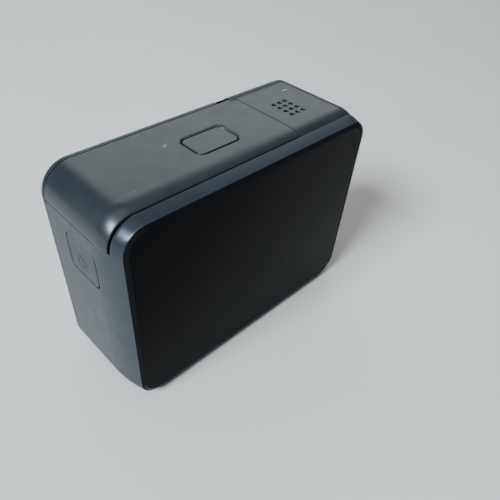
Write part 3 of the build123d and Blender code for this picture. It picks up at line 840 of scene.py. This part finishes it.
def make_battery_door():
    top_x = door_x - seam
    path = turn(corner_left, 90 + arc_angle(-top_x, -corner_left[0]), 180, 24)[:-1]
    path += run(corner_left, foot_left, (-1, 0), 8)[:-1]
    path += turn(foot_left, 180, 219.5, 12)
    door = sweep(path, skin_profile(shell_front_y, panel_rear_y, 1.6), corner,
                 path_closed=False, profile_closed=True)
    for ends in ((shell_front_y, middle_knuckle[0] - 0.15), (middle_knuckle[1] + 0.15, panel_rear_y - 0.3)):
        fuse(door, lathe((hinge_x, hinge_z), [(ends[0], knuckle), (ends[1], knuckle)], steps=40))
    cut(door, lathe((hinge_x, hinge_z), [(middle_knuckle[0] - 0.15, knuckle + 0.2),
                                         (middle_knuckle[1] + 0.15, knuckle + 0.2)], steps=40))
    cut(door, lathe((hinge_x, hinge_z), [(-20, 0.51), (20, 0.51)], steps=32))
    cut(door, plate(10.0, 9.1, 1.6, (-34.6, -37), (latch_y, 40.45), "x"))
    cut(door, box((-37, latch_y - 1.5, 37.2), (-33, latch_y + 1.5, 42.0)))
    fuse(door, box((-33.95, latch_y - latch_half, 33.0), (-31.95, latch_y + latch_half, 34.0)))
    soften(door, 0.13)
    return finish_piece(door, "battery_door_skin", "battery_door", "shell_plastic", shell_plastic,
                        "battery_door")


# ---------------------------------------------------------------- buttons and latch

def make_shutter_button():
    width, depth = shutter_size
    cap_top = span("shutter_button")[1].z
    cap = plate(width - 2 * shutter_gap, depth - 2 * shutter_gap, shutter_corner - shutter_gap,
                (48.9, cap_top), shutter_at, "z", edge=0.15)
    fuse(cap, plate(width + 0.8, depth + 0.8, 2.0, (48.9, 49.6), shutter_at, "z"))
    fuse(cap, lathe(shutter_at, [(48.0, 1.2), (49.0, 1.2)], "z", 32))
    soften(cap, 0.08)
    return finish_piece(cap, "shutter_cap", "shutter_button", "button_plastic", button_plastic,
                        "shutter_button")


def make_mode_button():
    """Side cap that follows the wall, with a raised ring-and-bar symbol."""
    depth, height = mode_size
    cap_at = (mode_at[0] - (mode_rear_gap - mode_gap) / 2, mode_at[1])
    cap = plate(depth - mode_gap - mode_rear_gap, height - 2 * mode_gap, mode_corner - mode_gap,
                (32.0, half_width), cap_at, "x", edge=0.12)
    follow, radius = body_path(24)
    profile = [(-9, 0.05), (crown_y, 0.05)]
    for i in range(1, 9):
        y = crown_y + (rim_y - crown_y) * i / 8
        profile.append((y, crown_inset(y) + 0.05))
    combine(cap, sweep(follow, profile, radius), "INTERSECT")
    fuse(cap, plate(depth + 1.4, height + 1.4, 1.5, (32.0, 32.8), mode_at, "x"))
    fuse(cap, lathe(mode_at, [(31.2, 1.2), (32.2, 1.2)], "x", 32))
    soften(cap, 0.1)
    low, high = half_width - 0.3, half_width
    y, z = mode_at[0] - 0.75, mode_at[1] - 0.9
    open_ring = ring((y, z), [(low, 1.55), (high, 1.55), (high, 1.28), (low, 1.28)], "x", 48)
    cut(open_ring, box((low - 1, y - 0.55, z + 0.6), (high + 1, y + 0.55, z + 2.5)))
    fuse(cap, open_ring)
    fuse(cap, plate(0.3, 1.5, 0.1, (low, high), (y, z + 1.15), "x", steps=4))
    return finish_piece(cap, "mode_cap", "mode_button", "button_plastic", mode_plastic, "mode_button")


def make_door_latch():
    thumb = plate(9.4, 6.6, 1.2, (-34.7, -35.45), (latch_y, 41.4), "x", edge=0.2)
    for step in range(5):
        z = 39.4 + step * 1.0
        cut(thumb, plate(6.4, 0.5, 0.24, (-36, -35.22), (latch_y, z), "x", steps=5))
    low_y, high_y = latch_y - latch_half, latch_y + latch_half
    fuse(thumb, box((-34.8, low_y, 39.5), (-33.1, high_y, 41.7)))
    fuse(thumb, box((-33.7, low_y, 39.5), (-32.2, high_y, 43.1)))
    soften(thumb, 0.08)
    return finish_piece(thumb, "door_latch_slide", "door_latch", "button_plastic", button_plastic,
                        "door_latch")


def make_latch_spring():
    """Coil spring, wound in a loop, between the door's seat and the tongue."""
    low, high = span("latch_spring")
    centre = ((low.x + high.x) / 2, (low.y + high.y) / 2)
    wire = 0.14
    coil = (high.x - low.x) / 2 - wire
    turns = 9
    steps = 24
    bm = bmesh.new()
    rings = []
    for i in range(turns * steps + 1):
        t = i / (turns * steps)
        angle = 2 * math.pi * turns * t
        height = low.z + wire + (high.z - low.z - 2 * wire) * t
        out = Vector((math.cos(angle), math.sin(angle), 0))
        middle = Vector((centre[0], centre[1], height)) + out * coil
        row = []
        for k in range(8):
            a = 2 * math.pi * k / 8
            rise = Vector((0, 0, wire * math.sin(a)))
            row.append(bm.verts.new(middle + out * wire * math.cos(a) + rise))
        rings.append(row)
    for first, second in zip(rings, rings[1:]):
        for k in range(8):
            bm.faces.new((first[k], second[k], second[(k + 1) % 8], first[(k + 1) % 8]))
    bm.faces.new(list(reversed(rings[0])))
    bm.faces.new(rings[-1])
    return finish_piece(as_object(bm), "latch_spring_coil", "battery_door", "bright_steel", bright_steel,
                        "latch_spring")


# ---------------------------------------------------------------- lens

def make_lens_cover():
    centre = (lens_x, lens_z)
    back_y = span("lens_cover")[1].y
    path, radius = rounded(cover_size, cover_size, cover_corner, centre, 20)
    profile = [(back_y, 0.0), (cover_edge_y, 0.0)]
    for i in range(1, 9):
        angle = math.radians(90 * i / 8)
        depth = cover_edge_y - cover_round * math.sin(angle)
        profile.append((depth, cover_round * (1 - math.cos(angle))))
    cover = sweep(path, profile, radius)
    cut(cover, plate(glass_pocket, glass_pocket, 5.0, (-18, -15.3), centre, steps=16))
    for low_y, high_y, r in ((-18, 0, 10.6), (-14.5, 0, 12.1), (-13.0, -11.2, 13.0)):
        cut(cover, lathe(centre, [(low_y, r), (high_y, r)], steps=96))
    soften(cover, 0.12)
    return finish_piece(cover, "lens_cover_bezel", "lens_cover", "shell_plastic", shell_plastic,
                        "lens_cover")


def make_lens_cover_glass():
    low, high = span("lens_cover_glass")
    glass = plate(high.x - low.x, high.z - low.z, 4.9, (high.y, low.y), (lens_x, lens_z),
                  steps=16, edge=0.2)
    return finish_piece(glass, "lens_cover_pane", "lens_cover", "screen_glass", optical_glass,
                        "lens_cover_glass", smooth=25)


def make_lens_ring():
    """Turned collar with stepped front, seen through the cover glass."""
    centre = (lens_x, lens_z)
    back_y = shell_front_y
    profile = [(-6.8, 13.3), (back_y, 13.3), (back_y, 12.0), (-14.05, 12.0), (-14.2, 11.85),
               (-14.2, 10.9), (-14.0, 10.7), (-14.0, 10.2), (-13.8, 10.0), (-13.8, 9.3), (-6.8, 9.3)]
    collar = ring(centre, profile)
    for side in (-1, 1):
        lug = ring(centre, [(-12.7, 12.7), (-11.5, 12.7), (-11.5, 11.5), (-12.7, 11.5)])
        edges = (lens_x + side * 8, lens_x + side * 15)
        combine(lug, box((min(edges), -14, lens_z - 3), (max(edges), -10, lens_z + 3)), "INTERSECT")
        fuse(collar, lug)
    soften(collar, 0.06)
    return finish_piece(collar, "lens_collar", "camera_body", "lens_metal", black_metal, "lens_ring")


def make_lens_barrel():
    centre = (lens_x, lens_z)
    profile = [(2.2, 9.2), (-13.3, 9.2), (-13.4, 9.1), (-13.4, 8.3), (-13.1, 8.1), (-13.1, 7.7),
               (-12.7, 7.42), (-9.0, 7.4), (-9.0, 5.6), (-3.4, 5.6), (-3.4, 4.6), (2.2, 4.6)]
    barrel = ring(centre, profile)
    soften(barrel, 0.05)
    return finish_piece(barrel, "lens_barrel_tube", "camera_body", "lens_metal", black_metal,
                        "lens_barrel")


def make_front_lens():
    """Outer element: a steep dome with a flat rear face."""
    centre = (lens_x, lens_z)
    sphere_centre = -0.9
    sphere_radius = 12.2
    profile = [(span("front_lens")[1].y, 7.25)]
    for i in range(13):
        r = 7.3 * math.cos(math.radians(90 * i / 12))
        profile.append((sphere_centre - math.sqrt(sphere_radius**2 - r**2), max(r, 0.02)))
    dome = lathe(centre, profile)
    return finish_piece(dome, "front_lens_dome", "camera_body", "optical_glass", lens_coating,
                        "front_lens")


# ---------------------------------------------------------------- front glass and fingers

def make_front_glass():
    low, high = span("front_glass")
    centre = ((low.x + high.x) / 2, (low.z + high.z) / 2)
    glass = plate(high.x - low.x, high.z - low.z, 2.6, (high.y, low.y), centre, steps=16, edge=0.15)
    return finish_piece(glass, "front_glass_pane", "camera_body", "screen_glass", screen_glass,
                        "front_glass", smooth=25)


def make_finger(side, name):
    """Flat mounting finger with a round end, a hole through that end and a knuckle on its pin."""
    hole_x = side * (finger_pivot_x + finger_reach)
    pivot_x = side * finger_pivot_x
    low_y, high_y = finger_y - finger_radius, finger_y + finger_radius
    low_z, high_z = finger_z
    knuckle_shape = lathe((pivot_x, finger_pivot_z), [(low_y, 1.5), (high_y, 1.5)], steps=48)
    inner, outer = sorted((pivot_x, hole_x))
    arm = box((inner, low_y, low_z), (outer, high_y, high_z))
    fuse(arm, lathe((hole_x, finger_y), [(low_z, finger_radius), (high_z, finger_radius)], "z", 96))
    fuse(arm, knuckle_shape)
    cut(arm, lathe((hole_x, finger_y), [(-1, 2.6), (5, 2.6)], "z", 64))
    cut(arm, lathe((pivot_x, finger_pivot_z), [(-20, 0.86), (20, 0.86)], steps=32))
    soften(arm, 0.25)
    return finish_piece(arm, name + "_arm", name, "finger_metal", finger_metal, name)


make_top_cover()
make_grille_panel()
make_front_plate()
make_rear_frame()
make_touch_glass()
make_body_shell()
make_battery_door()
make_shutter_button()
make_mode_button()
make_door_latch()
make_latch_spring()
make_lens_cover()
make_lens_cover_glass()
make_lens_ring()
make_lens_barrel()
make_front_lens()
make_front_glass()
make_finger(1, "finger_left")
make_finger(-1, "finger_right")


# ---------------------------------------------------------------- carried-over CAD nodes

SLOTS = {part["node"]: part["material_slot"] for part in frame["record"]["subparts"]}


def dress_node(name, softening=0.06):
    """Gives a kept CAD node its material and slightly rounded edges."""
    node = nodes[name]
    node.data.materials.clear()
    node.data.materials.append(SLOT_MATERIALS[SLOTS[name]])
    weld = node.modifiers.new("weld", "WELD")
    weld.merge_threshold = 0.002 * MM
    modifier = node.modifiers.new("soften", "BEVEL")
    modifier.width = softening * MM
    modifier.segments = 2
    modifier.limit_method = "ANGLE"
    modifier.angle_limit = math.radians(50)
    modifier.harden_normals = True


for node_name, node_object in nodes.items():
    if not node_object.hide_render:
        dress_node(node_name)


# ---------------------------------------------------------------- stage, lights and camera

def make_floor():
    bm = bmesh.new()
    size = 4.0
    signs = ((-1, -1), (1, -1), (1, 1), (-1, 1))
    corners = [bm.verts.new((sx * size, sy * size, 0)) for sx, sy in signs]
    bm.faces.new(corners)
    mesh = bpy.data.meshes.new("floor")
    bm.to_mesh(mesh)
    bm.free()
    floor = bpy.data.objects.new("floor", mesh)
    bpy.context.scene.collection.objects.link(floor)
    material, tree, shader = principled("floor_paper")
    tone = spread(tree, noise(tree, 6, 3.0), 0, 1)
    tree.links.new(blend_colours(tree, tone, (0.50, 0.475, 0.43), (0.54, 0.515, 0.465)),
                   shader.inputs["Base Color"])
    tree.links.new(spread(tree, noise(tree, 300, 3.0), 0.5, 0.62), shader.inputs["Roughness"])
    mesh.materials.append(material)


def soft_box(name, azimuth, elevation, distance, size, radiance, colour):
    """Rectangular soft light; azimuth is the angle in the XY plane from +X towards +Y."""
    a, e = math.radians(azimuth), math.radians(elevation)
    away = Vector((math.cos(a) * math.cos(e), math.sin(a) * math.cos(e), math.sin(e)))
    light = bpy.data.lights.new(name, "AREA")
    light.shape = "RECTANGLE"
    light.size, light.size_y = size
    light.energy = radiance * math.pi * size[0] * size[1]
    light.color = colour
    lamp = bpy.data.objects.new(name, light)
    lamp.location = Vector((0, 0, 0.03)) + away * distance
    lamp.rotation_mode = "QUATERNION"
    lamp.rotation_quaternion = away.to_track_quat("Z", "Y")
    bpy.context.scene.collection.objects.link(lamp)


def make_lights():
    soft_box("far_wall", -128, 36, 1.5, (1.6, 0.9), 1.8, (0.90, 1.0, 0.99))
    soft_box("window", 4, 41, 1.4, (0.52, 0.38), 90.0, (0.74, 0.87, 1.0))
    soft_box("ceiling", 60, 84, 1.6, (1.3, 1.3), 1.3, (1.0, 0.99, 0.97))
    world = bpy.data.worlds.new("room")
    world.use_nodes = True
    world.node_tree.nodes["Background"].inputs["Color"].default_value = (0.80, 0.86, 1.0, 1)
    world.node_tree.nodes["Background"].inputs["Strength"].default_value = 0.24
    bpy.context.scene.world = world


def make_camera():
    """Camera above the rear corner on the mode-button side; the small shift keeps the framing."""
    right = Vector((-0.7260, 0.6860, 0.0500))
    down = Vector((0.4549, 0.5338, -0.7128))
    forward = Vector((-0.5158, -0.4946, -0.6995))
    data = bpy.data.cameras.new("camera")
    data.sensor_width = 36.0
    data.lens = 34.81
    data.shift_x = 0.028
    data.shift_y = 0.052
    data.clip_start, data.clip_end = 0.005, 20.0
    camera = bpy.data.objects.new("camera", data)
    turned = Matrix((right, -down, -forward)).transposed().to_4x4()
    turned.translation = Vector((63.18, 70.89, 100.38)) * MM
    camera.matrix_world = turned
    bpy.context.scene.collection.objects.link(camera)
    bpy.context.scene.camera = camera


make_floor()
make_lights()
make_camera()
